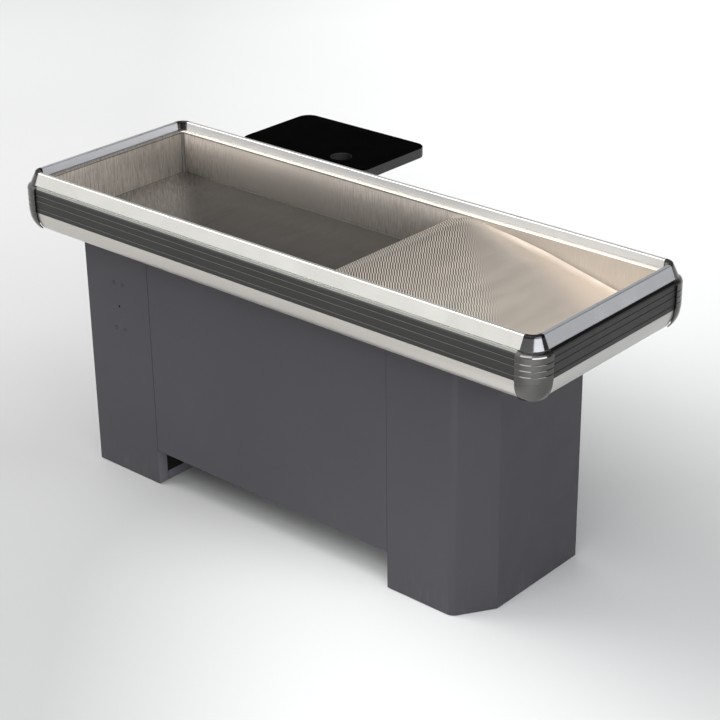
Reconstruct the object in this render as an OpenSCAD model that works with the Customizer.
// Checkout counter: two sheet-steel pedestals joined by a front panel, a
// stainless goods tray with a hump and ramp, a bumper rim with corner caps,
// a swing-out shelf, a lockable drawer and a lockable cupboard.
// +X packing end, -Y customer side (front), +Z up. Origin on the floor, under
// the centre of the box that holds the counter and its shelf.

/* [Rim] */
// Length over the bumpers
rim_length = 1802; // [1750:1:1850]
// Depth over the bumpers
rim_width = 633; // [600:1:660]
// Height of the rim above the floor
rim_top = 900; // [890:1:910]
// Height of the black bumper band
bumper_height = 72; // [60:1:80]
// Length of a corner cap's leg past its round corner
cap_leg = 6; // [4:0.5:14]
// How far a corner cap stands out from the rim
cap_out = 5.2; // [1:0.1:6]

/* [Tray] */
// Clear length of the tray between its end walls
tray_length = 1700; // [1600:10:1800]
// Clear width of the tray
tray_width = 530; // [510:1:545]
// Thickness of the stainless sheet
tray_sheet = 1.5; // [1:0.1:2]
// Position of the hump's steep edge along the counter
hump_x = 180; // [100:5:260]
// Height of the hump's top below the rim
hump_drop = 31; // [27:1:60]

/* [Pedestals] */
// Thickness of the painted sheet
sheet = 2; // [1.5:0.1:3]
// Outer face of the left pedestal
left_outer = -752; // [-780:1:-740]
// Inner face of the left pedestal
left_inner = -499; // [-540:1:-480]
// Inner face of the right pedestal
right_inner = 374; // [350:1:400]
// Outer face of the right pedestal
right_outer = 658.5; // [640:0.5:700]
// Half depth of the body
body_y = 226.5; // [222:0.5:230]
// Length of the chamfer along the front
chamfer_x = 68.5; // [50:0.5:90]
// Length of the chamfer along the end
chamfer_y = 105.7; // [80:0.1:120]
// Height of the centre panel's lower edge
panel_z = 110; // [60:5:160]

/* [Shelf] */
// Width of the shelf
shelf_length = 480; // [400:10:560]
// Depth of the shelf
shelf_width = 304; // [240:1:320]
// Thickness of the shelf
shelf_thick = 30; // [24:1:36]
// Radius of the shelf's corners
shelf_r = 40; // [30:1:50]
// Diameter of the cable hole
cable_d = 60; // [50:1:62]

/* [Running parts] */
// Radius of the shelf post
post_r = 15; // [12:0.5:18]
// Radial running clearance of the pivots
run = 0.05; // [0.02:0.01:0.08]
// Radius of the door's hinge pins
pin_r = 4; // [3:0.5:5]
// Radius of the lock plugs
plug_r = 7; // [6:0.5:8]

/* [Hidden] */
$fn = 48;
gap = 0.1;                     // between fixed faces
half_l = rim_length / 2;
half_w = rim_width / 2;
ped_top = 706;                 // top of the pedestals
frame_top = 746;               // top of the support frame

paint = [0.27, 0.27, 0.29];
alloy = [0.80, 0.79, 0.77];
steel = [0.68, 0.64, 0.59];
dark = [0.05, 0.05, 0.055];
cap_grey = [0.35, 0.35, 0.36];

// ---- shared shapes -------------------------------------------------------
function arc(centre, r, a0, a1, n) =
  [for (i = [0:n]) let (a = a0 + (a1 - a0) * i / n) centre + r * [cos(a), sin(a)]];
function reversed(list) = [for (i = [len(list) - 1:-1:0]) list[i]];
function unit(v) = v / norm(v);
// corner p1 between p0 and p2, rounded with radius r in n steps
function fillet(p0, p1, p2, r, n = 8) = let (
  u = unit(p0 - p1),
  v = unit(p2 - p1),
  half = acos(u * v) / 2,
  reach = r / tan(half),
  centre = p1 + unit(u + v) * (r / sin(half)),
  from = p1 + u * reach - centre,
  to = p1 + v * reach - centre,
  a0 = atan2(from[1], from[0]),
  turn = atan2(to[1], to[0]) - a0,
  short = turn > 180 ? turn - 360 : turn < -180 ? turn + 360 : turn
) arc(centre, r, a0, a0 + short, n);
// polyline moved sideways by t, to its right-hand side
function shifted(line, t) = [for (i = [0:len(line) - 1])
  let (along = unit(line[min(i + 1, len(line) - 1)] - line[max(i - 1, 0)]))
  line[i] + t * [along[1], -along[0]]];

// band between a polyline and its shifted copy
module strip(line, t) { polygon(concat(line, reversed(shifted(line, t)))); }
// box between two opposite corners
module box(a, b) { translate(a) cube(b - a); }
// rounded slab centred on the Z axis, from half sizes
module slab(half_x, half_y, r, z0, z1) {
  translate([0, 0, z0]) linear_extrude(z1 - z0) {
    square([2 * half_x, 2 * (half_y - r)], center = true);
    square([2 * (half_x - r), 2 * half_y], center = true);
    for (i = [-1, 1], j = [-1, 1]) translate([i * (half_x - r), j * (half_y - r)]) circle(r);
  }
}
// rods: at = [x, z] along Y, at = [x, y] along Z
module rod_y(at, r, y0, y1) {
  translate([at[0], y0, at[1]]) rotate([-90, 0, 0]) cylinder(r = r, h = y1 - y0);
}
module rod_z(at, r, z, h) { translate([at[0], at[1], z]) cylinder(r = r, h = h); }

// ---- rim -----------------------------------------------------------------
// Sections are [out, up] from the rim's outer edge and top.
corner_r = 54;                 // plan radius of the bumper at a corner
corner_x = half_l - corner_r;  // centre of a round corner
corner_y = half_w - corner_r;
bump_z = -40 - bumper_height;  // lower edge of the bumper
low_r = 72.9;                  // curve below the bumper: radius and sweep
low_a = 43.2;
function low_curve(out) = arc([-2.2 + out - low_r, bump_z - 0.6], low_r, -low_a, 0, 10);

// section swept along X on the +Y side, or along Y on the +X side
module sweep_x(length) {
  translate([-length / 2, half_w, rim_top]) rotate([90, 0, 90]) linear_extrude(length) children();
}
module sweep_y(length) {
  translate([half_l, length / 2, rim_top]) rotate([90, 0, 0]) linear_extrude(length) children();
}

// hollow rail with a slot for the bumper's lip
module rim_section() {
  difference() {
    polygon(concat([[-48.5, -162], [-47, -164], [-24.5, -164]], low_curve(0),
      [[-8.5, bump_z - 0.6], [-8.5, bump_z + 33], [-11.8, bump_z + 33], [-11.8, bump_z + 39],
       [-8.5, bump_z + 39], [-8.5, -34], [-6.5, -32.5]],
      arc([-23.3, -3.6], 3.3, 24.7, 90, 6), arc([-30.4, -3.6], 3.3, 90, 174, 6),
      [[-36.5, -26], [-48.5, -26]]));
    polygon(concat([[-46.2, -28.4], [-46.2, -161.6], [-26, -161.6]],
      arc([-2.2 - low_r, bump_z - 0.6], low_r - 2.4, -low_a + 2, -4, 8),
      [[-14.2, bump_z - 3], [-14.2, -36], [-8.8, -33.4], [-22.5, -5], [-30.6, -5],
       [-34.2, -28.4]]));
  }
}
// upper part of the section, which runs on over the caps' legs
module rim_crest() {
  intersection() {
    rim_section();
    translate([-60, -34]) square([70, 50]);
  }
}
module rim_x() {
  sweep_x(2 * (corner_x - cap_leg) - 0.6) rim_section();
  sweep_x(2 * corner_x - 0.4) rim_crest();
}
module rim_y() {
  sweep_y(2 * (corner_y - cap_leg) - 0.6) rim_section();
  sweep_y(2 * corner_y - 0.4) rim_crest();
}
module front_rim() { color(alloy) mirror([0, 1, 0]) rim_x(); }
module rear_rim() { color(alloy) rim_x(); }
module right_rim() { color(alloy) rim_y(); }
module left_rim() { color(alloy) mirror([1, 0, 0]) rim_y(); }

// heights of the three fine grooves in a bumper and in a cap
grooves = [for (k = [0.195, 0.514, 0.76]) bump_z + bumper_height * k];
cap_grooves = [for (k = [0.264, 0.479, 0.694]) bump_z + bumper_height * k];
groove = [[0, -1], [-0.9, -0.6], [-0.9, 0.6], [0, 1]];
crown = 0.3;                   // how far the face falls back at its edges
function grooved_face(out, heights) = concat([[out - 1.2, bump_z + 0.4]],
  [for (z = heights, s = groove)
    [out + s[0] - crown * pow((z + s[1] - bump_z) / bumper_height * 2 - 1, 2), z + s[1]]],
  [[out - 0.5, -45], [out - 1.8, -42], [out - 4.3, -38.5]]);
module bumper_section() {
  polygon(concat([[-8.3, bump_z - 0.2]], grooved_face(-0.8, grooves),
    [[-6.6, -35.6], [-8.3, -34.6], [-8.3, bump_z + 38.8], [-11.4, bump_z + 38.8],
     [-11.4, bump_z + 33.2], [-8.3, bump_z + 33.2]]));
}
module bumper_x() { sweep_x(2 * (corner_x - cap_leg) - 1) bumper_section(); }
module bumper_y() { sweep_y(2 * (corner_y - cap_leg) - 1) bumper_section(); }
module front_bumper() { color(dark) mirror([0, 1, 0]) bumper_x(); }
module rear_bumper() { color(dark) bumper_x(); }
module right_bumper() { color(dark) bumper_y(); }
module left_bumper() { color(dark) mirror([1, 0, 0]) bumper_y(); }

// moulded corner cap: barrel in line with the bumpers, cone above it
module barrel_section() {
  polygon(concat([[-17.2, -163.2]], low_curve(1 + cap_out), grooved_face(cap_out, cap_grooves),
    [[-6, -37], [-6, -34.6], [-9, -34.6], [-9, -40], [-3.4, -43], [cap_out - 2.9, -47],
     [cap_out - 2.9, bump_z]],
    reversed(arc([cap_out - 1.2 - low_r, bump_z - 0.6], low_r - 2.5, -low_a + 1, -1, 10))));
}
module cone_section() {
  polygon(concat([[-6, -37], [-5.8, -32.5]], arc([-23.3, -3.3], 3.3, 24.7, 90, 6),
    arc([-30.2, -3.3], 3.3, 90, 174, 6),
    [[-36.3, -25.8], [-34, -25.8], [-30.4, -3.2], [-23.4, -3.2], [-9, -37]]));
}
module cap() {
  color(cap_grey) union() {
    translate([corner_x, corner_y, rim_top]) rotate_extrude(angle = 90, $fn = 96)
      translate([corner_r, 0]) {
        barrel_section();
        cone_section();
      }
    intersection() {
      sweep_x(2 * corner_x) barrel_section();
      box([corner_x - cap_leg, 0, 0], [corner_x, half_w + 15, rim_top + 5]);
    }
    intersection() {
      sweep_y(2 * corner_y) barrel_section();
      box([0, corner_y - cap_leg, 0], [half_l + 15, corner_y, rim_top + 5]);
    }
  }
}
module cap_rear_right() { cap(); }
module cap_rear_left() { mirror([1, 0, 0]) cap(); }
module cap_front_right() { mirror([0, 1, 0]) cap(); }
module cap_front_left() { mirror([1, 0, 0]) mirror([0, 1, 0]) cap(); }

// angle keys that join the rails inside their hollows
key_in = 18;                   // outer face, in from the rim's edge
key_end = 140;                 // end of a leg, in from the rim's corner
module corner_keys() {
  color("silver") for (i = [-1, 1], j = [-1, 1]) scale([i, j, 1]) difference() {
    intersection() {
      box([half_l - key_end, half_w - key_end, rim_top - 150],
        [half_l - key_in, half_w - key_in, rim_top - 122]);
      slab(half_l - key_in, half_w - key_in, corner_r - key_in, 0, rim_top);
    }
    box([half_l - 150, half_w - 150, rim_top - 160],
      [half_l - key_in - 20, half_w - key_in - 20, rim_top]);
  }
}

// ---- tray ----------------------------------------------------------------
tray_x = tray_length / 2;
tray_y = tray_width / 2;
tray_z = frame_top + gap;      // underside
floor_z = tray_z + tray_sheet;
lip_z = rim_top - 24;          // top of the tray's lip
module tray_pan() {
  color(steel) difference() {
    union() {
      slab(tray_x + tray_sheet, tray_y + tray_sheet, 10, tray_z, lip_z);
      slab(tray_x + 14.4, tray_y + 14.4, 23, lip_z - 1.5, lip_z);
    }
    slab(tray_x, tray_y, 8.5, floor_z, rim_top);
  }
}

// side view of the ramp's underside, [x, z], from the hump's foot to the +X end
hump_z = rim_top - hump_drop;
hump_foot = [hump_x - 9, floor_z];
hump_peak = [hump_x + 66, hump_z];
ramp_knee = [hump_x + 318, hump_z - 37];
ramp_end = [tray_x - 9, floor_z];
ramp_line = concat([hump_foot + [0, 0.4]],
  fillet(hump_foot, [hump_x - 3, hump_z - 20], hump_peak, 9),
  fillet([hump_x, hump_z - 20], hump_peak + [0, 1.5], ramp_knee, 60, 10),
  fillet(hump_peak, ramp_knee, [hump_x + 525, hump_z - 81], 500, 6),
  fillet([hump_x + 400, hump_z - 54.5], [tray_x - 9, hump_z - 112], ramp_end, 4, 4),
  [ramp_end + [0, 0.4]]);
module tray_ramp() {
  color(steel) translate([0, tray_y - 0.4, 0]) rotate([90, 0, 0])
    linear_extrude(tray_width - 0.8) strip(ramp_line, tray_sheet);
}
module ramp_ribs() {
  top = [for (p = ramp_line) if (p[0] > hump_x + 30 && p[0] < tray_x - 60) p];
  color(steel) for (y = [-165, 0, 165]) translate([0, y + 1, 0]) rotate([90, 0, 0])
    linear_extrude(2) polygon(concat([[hump_x + 8, floor_z + 0.2], [hump_x + 10, hump_z - 24]],
      shifted(top, tray_sheet + 0.3), [[tray_x - 60, floor_z + 0.2]]));
}

// ---- support frame of 2 mm channels --------------------------------------
frame_x = 820;                 // half length
frame_y = 215;                 // half width
frame_z = ped_top + gap;
flanges_z = [frame_z, frame_top - 2];
module long_channels() {
  for (y = [-frame_y, frame_y - 2]) box([-frame_x, y, frame_z], [frame_x, y + 2, frame_top]);
  for (y = [-frame_y, frame_y - 30], z = flanges_z)
    box([-frame_x, y, z], [frame_x, y + 30, z + 2]);
}
module cross_channel(x) {
  end = frame_y - 1;
  box([x - 15, -end, frame_z], [x - 13, end, frame_top]);
  for (z = flanges_z) box([x - 15, -end, z], [x + 15, end, z + 2]);
}
// the bolt by the right pedestal's chamfer is set further in
bolts = [for (x = [left_outer + 40, left_inner - 40, right_inner + 40, right_outer - 40],
  y = [-198, 198]) [y < 0 && x > right_outer - 50 ? x - 60 : x, y]];
module bolt_holes(z) { for (p = bolts) rod_z(p, 4.3, z, 5); }
module top_frame() {
  color(dark) difference() {
    union() {
      long_channels();
      for (x = [-803, -626, -62, 500, 803]) cross_channel(x);
    }
    bolt_holes(ped_top - 1);
  }
}
module frame_bolts() {
  color("silver") for (p = bolts) {
    rod_z(p, 6.5, ped_top - 7.1, 5, $fn = 6);
    rod_z(p, 4, ped_top - 2.2, 16);
    rod_z(p, 6.5, ped_top + 2.2, 6, $fn = 6);
  }
}
// angles that carry the rim's lower edge
bracket_z = 712;
bracket_top = 735.6;
module rim_brackets() {
  color(dark) {
    for (x = [-700, -200, 200, 600], s = [-1, 1]) scale([1, s, 1]) {
      box([x - 25, frame_y + gap, bracket_z], [x + 25, frame_y + 3, bracket_top]);
      box([x - 25, frame_y + gap, bracket_top - 3], [x + 25, 277, bracket_top]);
    }
    for (y = [-120, 120], s = [-1, 1]) scale([s, 1, 1]) {
      box([frame_x + gap, y - 25, bracket_z], [frame_x + 3, y + 25, bracket_top]);
      box([frame_x + gap, y - 25, bracket_top - 3], [861, y + 25, bracket_top]);
    }
  }
}

// ---- pedestals -----------------------------------------------------------
foot_z = 1.5;                  // lower edge of the walls
base_z = 27;                   // base plates, under and upper face
base_top = 29;
fold_w = 34;                   // front return along a pedestal's inner side
rivets = [for (x = [-640, -603.5], z = [602, 463]) [x, z]];
module left_pedestal() {
  color(paint) difference() {
    union() {
      box([left_outer, -body_y, foot_z], [left_inner, -body_y + sheet, ped_top]);
      box([left_outer, -body_y, foot_z], [left_outer + sheet, body_y, ped_top]);
      box([left_inner - sheet, -body_y, foot_z], [left_inner, -body_y + fold_w, ped_top]);
      box([left_outer, -body_y, ped_top - sheet], [left_inner, -body_y + 20, ped_top]);
    }
    for (p = rivets) rod_y(p, 6, -body_y - 1, -body_y + 1.2);
    rod_y([-622, 532], 3.5, -body_y - 1, -body_y + 3);
    bolt_holes(ped_top - 3);
  }
}
module accessory_rivets() {
  color(paint) for (p = rivets) rod_y(p, 4.6, -body_y + 0.05, -body_y + 1.15);
}

// plan of the right pedestal's outer face: front, chamfer, end
front_turn = [right_outer - chamfer_x, -body_y];
end_turn = [right_outer, -body_y + chamfer_y];
right_wall = concat([[right_inner, -body_y]],
  fillet([right_inner, -body_y], front_turn, end_turn, 28, 8),
  fillet(front_turn, end_turn, [right_outer, body_y], 3, 3), [[right_outer, body_y]]);
module right_pedestal() {
  color(paint) difference() {
    union() {
      translate([0, 0, foot_z]) linear_extrude(ped_top - foot_z) strip(right_wall, -sheet);
      box([right_inner, -body_y, foot_z], [right_inner + sheet, -body_y + fold_w, ped_top]);
    }
    bolt_holes(ped_top - 3);
  }
}
// plate between corners a and b, trimmed to the inside of the right wall
module right_plate(a, b) {
  intersection() {
    box(a, b);
    translate([0, 0, a[2] - 5]) linear_extrude(20)
      polygon(concat(shifted(right_wall, -sheet - 0.3), [[right_inner, body_y]]));
  }
}
module hinge_hole(z) { rod_z(hinge, pin_r + 0.02, z, 20); }

// base trays: plate with a skirt at the inner side
module left_base() {
  color(paint) {
    box([left_outer + sheet + gap, -body_y + sheet + gap, base_z],
      [left_inner - sheet - gap, body_y - 20, base_top]);
    box([left_inner - sheet - 2 * gap, -body_y + fold_w + 1, foot_z],
      [left_inner, body_y - 20, base_top]);
  }
}
module right_base() {
  color(paint) difference() {
    union() {
      right_plate([right_inner + sheet + gap, -body_y + sheet + gap, base_z],
        [right_outer - sheet - gap, body_y - 2, base_top]);
      box([right_inner, -body_y + fold_w + 1, foot_z],
        [right_inner + sheet + 2 * gap, body_y - 20, base_top]);
    }
    hinge_hole(20);
  }
}
module floor_glides() {
  color(dark) for (y = [-200, 180], x = [left_outer + 25, left_inner - 25, right_inner + 25,
    right_outer - (y < 0 ? 100 : 25)]) rod_z([x, y], 14, 0, base_z - gap);
}
// inner side panels: plate with a rear flange
side_z0 = base_top + gap;
side_z1 = ped_top - 2 - gap;
module left_inner_panel() {
  color(dark) {
    box([left_inner - 3, -body_y + 35, side_z0], [left_inner - 1, body_y, side_z1]);
    box([left_inner - 17, body_y - 22, side_z0], [left_inner - 1, body_y - 20, drawer_z - 6]);
  }
}
module right_inner_panel() {
  color(dark) {
    box([right_inner + 1, -body_y + 35, side_z0], [right_inner + 3, body_y, side_z1]);
    box([right_inner + 1, body_y - 22, side_z0], [right_inner + 17, body_y - 20, side_z1]);
  }
}
module left_cabinet_top() {
  color(paint) difference() {
    box([left_outer + sheet + gap, -body_y + 20 + gap, ped_top - 2],
      [left_inner - sheet - gap, body_y - 3, ped_top]);
    bolt_holes(ped_top - 3);
  }
}
module right_cabinet_top() {
  color(paint) difference() {
    right_plate([right_inner + 0.5, -body_y + 36, ped_top - 2],
      [right_outer - sheet - gap, body_y - 2, ped_top]);
    bolt_holes(ped_top - 3);
    hinge_hole(ped_top - 5);
  }
}
module left_rear_panel() { color(paint) folded_pan(bay_x0 + 1, bay_x1 - 1, 31, drawer_z - 4); }

panel_x0 = left_inner + 0.6;
panel_x1 = right_inner - 0.6;
module centre_panel() {
  back = -body_y + 22;
  color(paint) {
    box([panel_x0, -body_y, panel_z], [panel_x1, -body_y + sheet, ped_top]);
    for (x = [panel_x0, panel_x1 - sheet])
      box([x, -body_y, panel_z], [x + sheet, back, ped_top]);
    for (z = [panel_z, ped_top - sheet])
      box([panel_x0, -body_y, z], [panel_x1, back, z + sheet]);
  }
}
// channel behind the lower part of the centre panel
module panel_rail() {
  y = -body_y + 22.2;
  color(dark) {
    box([panel_x0, y, panel_z + 20], [panel_x1, y + 2, panel_z + 60]);
    for (z = [panel_z + 20, panel_z + 58]) box([panel_x0, y, z], [panel_x1, y + 30, z + 2]);
  }
}

// ---- rear shelf ----------------------------------------------------------
shelf_x = -671;                // left edge
shelf_y = half_w + 6.5;        // front edge
shelf_top = rim_top - 22;
shelf_z = shelf_top - shelf_thick;
post_x = shelf_x + shelf_r;
post_y = shelf_y + shelf_r;
post = [post_x, post_y];
pivot_z = 746;                 // top of the bracket's boss
cable_hole = [-324, 393];
arm_screws = [for (p = [[60, 12], [240, 0], [190, 60], [190, 170]]) post + p];
module post_bracket() {
  color(dark) difference() {
    union() {
      box([post_x - 40, frame_y + gap, bracket_z], [post_x + 40, post_y, 724]);
      rod_z(post, 40, bracket_z, 12);
      rod_z(post, 24, pivot_z - 43, 43);
      box([post_x - 40, frame_y + gap, 707], [post_x + 40, frame_y + 8, 724]);
    }
    rod_z(post, post_r + 0.02, 680, 80);
  }
}
// post with a collar
module shelf_post() {
  color("silver") {
    rod_z(post, post_r, 702, shelf_z - 705);
    rod_z(post, 22, pivot_z + gap, 6);
  }
}
module pivot_washer() {
  color("ivory") translate([post_x, post_y, pivot_z + 6 + 2 * gap]) difference() {
    cylinder(r = 22, h = 2);
    translate([0, 0, -1]) cylinder(r = post_r + 0.1, h = 4);
  }
}
// sleeve, arm along X, arm along Y and gusset
module swing_arm() {
  color(dark) difference() {
    union() {
      rod_z(post, 22, pivot_z + 8 + 3 * gap, shelf_z - pivot_z - 8 - 4 * gap);
      box([post_x, post_y - 20, shelf_z - 12], [post_x + 262, post_y + 20, shelf_z - gap]);
      box([post_x + 170, post_y, shelf_z - 12], [post_x + 210, post_y + 200, shelf_z - gap]);
      translate([post_x, post_y + 3, 0]) rotate([90, 0, 0]) linear_extrude(6)
        polygon([[20, 770], [20, shelf_z - 10], [150, shelf_z - 10]]);
    }
    rod_z(post, post_r + run, 740, 200);
    for (p = arm_screws) rod_z(p, 2.7, shelf_z - 20, 30);
  }
}
module rear_shelf() {
  color(dark) difference() {
    translate([shelf_x + shelf_length / 2, shelf_y + shelf_width / 2, 0])
      slab(shelf_length / 2, shelf_width / 2, shelf_r, shelf_z, shelf_top);
    rod_z(cable_hole, cable_d / 2, shelf_z - 1, shelf_thick + 2);
    for (p = arm_screws) rod_z(p, 2.1, shelf_z - 1, 17);
  }
}
module shelf_screws() {
  color("silver") for (p = arm_screws) {
    rod_z(p, 4.5, shelf_z - 15.3, 3.2);
    rod_z(p, 2, shelf_z - 13, 28);
  }
}

// ---- fronts, pulls and locks ---------------------------------------------
front_y = body_y - 1;          // outer face of the drawer and door fronts
fold_y = body_y - 19;          // open back of the fronts
front_top = 699;
// folded pan, 18 deep and open at the inside
module folded_pan(x0, x1, z0, z1) {
  difference() {
    box([x0, fold_y, z0], [x1, front_y, z1]);
    box([x0 + 1.5, fold_y - 1, z0 + 1.5], [x1 - 1.5, front_y - 1.5, z1 - 1.5]);
  }
}
module front_holes(lock, feet) {
  rod_y(lock, 9.5, body_y - 30, body_y + 5);
  for (p = feet) rod_y(p, 2.2, body_y - 30, body_y + 5);
}
// bow pull with two feet, turned about Y
foot_at = [-48, 48];
module pull(at, turn) {
  translate([at[0], front_y + gap, at[1]]) rotate([0, turn, 0]) difference() {
    union() {
      for (s = foot_at) rod_y([s, 0], 5, 0, 26);
      translate([-58, 26, 0]) rotate([0, 90, 0]) cylinder(r = 6, h = 116);
      for (s = [-58, 58]) translate([s, 26, 0]) sphere(r = 6);
    }
    for (s = foot_at) rod_y([s, 0], 1.8, -1, 13);
  }
}
module foot_screws(feet, head_y0, head_y1, shank_y) {
  for (p = feet) {
    rod_y(p, 4, head_y0, head_y1);
    rod_y(p, 1.7, shank_y, body_y + 10);
  }
}
module lock_housing(at, back) {
  difference() {
    union() {
      rod_y(at, 9.4, back, front_y + gap);
      rod_y(at, 11.5, front_y + gap, body_y + 1.5);
    }
    rod_y(at, plug_r, back - 5, body_y + 5);
  }
}
// plug with keyway; the cam points along +X, or down when turned by 90
module lock_plug(at, back, turn) {
  difference() {
    union() {
      rod_y(at, plug_r - run, back - 3.5, body_y + 1.9);
      translate([at[0], back - 3.5, at[1]]) rotate([0, turn, 0]) box([0, 0, -6.5], [28, 3, 6.5]);
    }
    translate([at[0], body_y - 6, at[1]]) rotate([0, turn, 0]) box([-4, 0, -0.8], [4, 10, 0.8]);
  }
}

// ---- drawer --------------------------------------------------------------
drawer_z = 571;                // lower edge of the front
bay_x0 = left_outer + sheet;   // clear width inside the left pedestal
bay_x1 = left_inner - 3;
box_x0 = bay_x0 + 13;          // drawer box, outer faces
box_x1 = bay_x1 - 13;
box_y0 = -150;
box_y1 = fold_y - gap;
drawer_lock = [-626, 671];
drawer_grip = [drawer_lock[0], 612];
drawer_feet = [for (s = foot_at) drawer_grip + [s, 0]];
drawer_lock_back = box_y1 - 6;
module slide_pair() {
  children(0);
  translate([bay_x0 + bay_x1, 0, 0]) mirror([1, 0, 0]) children(0);
}
module slide_outers() {
  x = bay_x0 + gap;
  color("silver") slide_pair() union() {
    box([x, box_y0 - 5, 610], [x + 1.5, box_y1 - 6, 650]);
    for (z = [610, 648.5]) box([x, box_y0 - 5, z], [x + 9, box_y1 - 6, z + 1.5]);
  }
}
module slide_inners() {
  color("silver") slide_pair() box([bay_x0 + 5, box_y0, 613], [box_x0 - gap, box_y1 - 8, 647]);
}
module drawer_catch() {
  x0 = drawer_lock[0] - 34;
  x1 = drawer_lock[0] + 34;
  color(paint) {
    box([x0, box_y1 - 5.4, 685], [x1, box_y1 - 3.4, side_z1]);
    box([x0, box_y1 - 28, side_z1 - 2], [x1, box_y1 - 3.4, side_z1]);
  }
}
module drawer_box() {
  color(paint) difference() {
    box([box_x0, box_y0, 580], [box_x1, box_y1, 682]);
    box([box_x0 + 1.5, box_y0 + 1.5, 581.5], [box_x1 - 1.5, box_y1 - 1.5, 700]);
    rod_y(drawer_lock, 9.5, box_y1 - 5, box_y1 + 5);
    for (p = drawer_feet) rod_y(p, 2.2, box_y1 - 5, box_y1 + 5);
  }
}
module drawer_front() {
  color(paint) difference() {
    folded_pan(bay_x0 + 1.5, bay_x1 - 1.5, drawer_z, front_top);
    front_holes(drawer_lock, drawer_feet);
  }
}
module drawer_pull() { color("silver") pull(drawer_grip, 0); }
module pull_screws() {
  color("silver") foot_screws(drawer_feet, box_y1 - 4, box_y1 - 1.7, box_y1 - 2);
}
module drawer_lock_housing() { color("silver") lock_housing(drawer_lock, drawer_lock_back); }
module drawer_lock_plug() { color("gray") lock_plug(drawer_lock, drawer_lock_back, 0); }

// ---- cupboard ------------------------------------------------------------
hinge_x = right_outer - sheet - 11;
hinge = [hinge_x, body_y - 10];
door_z = 33;                   // lower edge of the door
door_lock = [right_inner + 36, 560];
door_grip = [door_lock[0], 450];
door_feet = [for (s = foot_at) door_grip + [0, s]];
door_lock_back = body_y - 23;
// two pins, the lower one with a collar
module hinge_pins() {
  color("silver") {
    rod_z(hinge, pin_r, 26, 32);
    translate([hinge[0], hinge[1], 29.2]) difference() {
      cylinder(r = 8, h = 2);
      translate([0, 0, -1]) cylinder(r = pin_r - 1, h = 4);
    }
    rod_z(hinge, pin_r, ped_top - 32, 32 - gap);
  }
}
module cupboard_door() {
  color(paint) difference() {
    union() {
      difference() {
        folded_pan(right_inner + 5, hinge_x, door_z, front_top);
        front_holes(door_lock, door_feet);
      }
      rod_z(hinge, 9, door_z, front_top - door_z);
      box([hinge_x - 9, fold_y, door_z], [hinge_x, fold_y + 1.5, front_top]);
    }
    rod_z(hinge, pin_r + run, 30, 30);
    rod_z(hinge, pin_r + run, ped_top - 34, 40);
  }
}
module door_pull() { color("silver") pull(door_grip, 90); }
module door_pull_screws() {
  color("silver") foot_screws(door_feet, body_y - 5, body_y - 2.6, body_y - 3);
}
module door_lock_housing() { color("silver") lock_housing(door_lock, door_lock_back); }
module door_lock_plug() { color("gray") lock_plug(door_lock, door_lock_back, 90); }
module cupboard_shelf() {
  x0 = right_inner + 5;
  x1 = right_outer - sheet - 3;
  color(paint) {
    box([x0, -110, 360], [x1, 190, 362]);
    for (y = [-110, 188]) box([x0, y, 345], [x1, y + 2, 362]);
  }
}
module shelf_pins() {
  color("silver") for (x = [right_inner + 3 + gap, right_outer - sheet - 12 - gap],
    y = [-80, 160]) translate([x, y, 356.5]) rotate([0, 90, 0]) cylinder(r = 3, h = 12);
}

// puts the origin under the middle of the whole box
module place() {
  translate([0, -(shelf_y + shelf_width - half_w - cap_out) / 2, 0]) children();
}

place() left_pedestal();
place() right_pedestal();
place() centre_panel();
place() left_base();
place() right_base();
place() left_inner_panel();
place() right_inner_panel();
place() left_rear_panel();
place() left_cabinet_top();
place() right_cabinet_top();
place() floor_glides();
place() panel_rail();
place() top_frame();
place() rim_brackets();
place() frame_bolts();
place() front_rim();
place() rear_rim();
place() left_rim();
place() right_rim();
place() corner_keys();
place() front_bumper();
place() rear_bumper();
place() left_bumper();
place() right_bumper();
place() cap_front_left();
place() cap_front_right();
place() cap_rear_left();
place() cap_rear_right();
place() tray_pan();
place() tray_ramp();
place() ramp_ribs();
place() accessory_rivets();
place() post_bracket();
place() shelf_post();
place() pivot_washer();
place() swing_arm();
place() rear_shelf();
place() shelf_screws();
place() slide_outers();
place() slide_inners();
place() drawer_catch();
place() drawer_box();
place() drawer_front();
place() drawer_pull();
place() pull_screws();
place() drawer_lock_housing();
place() drawer_lock_plug();
place() hinge_pins();
place() cupboard_door();
place() door_pull();
place() door_pull_screws();
place() door_lock_housing();
place() door_lock_plug();
place() cupboard_shelf();
place() shelf_pins();
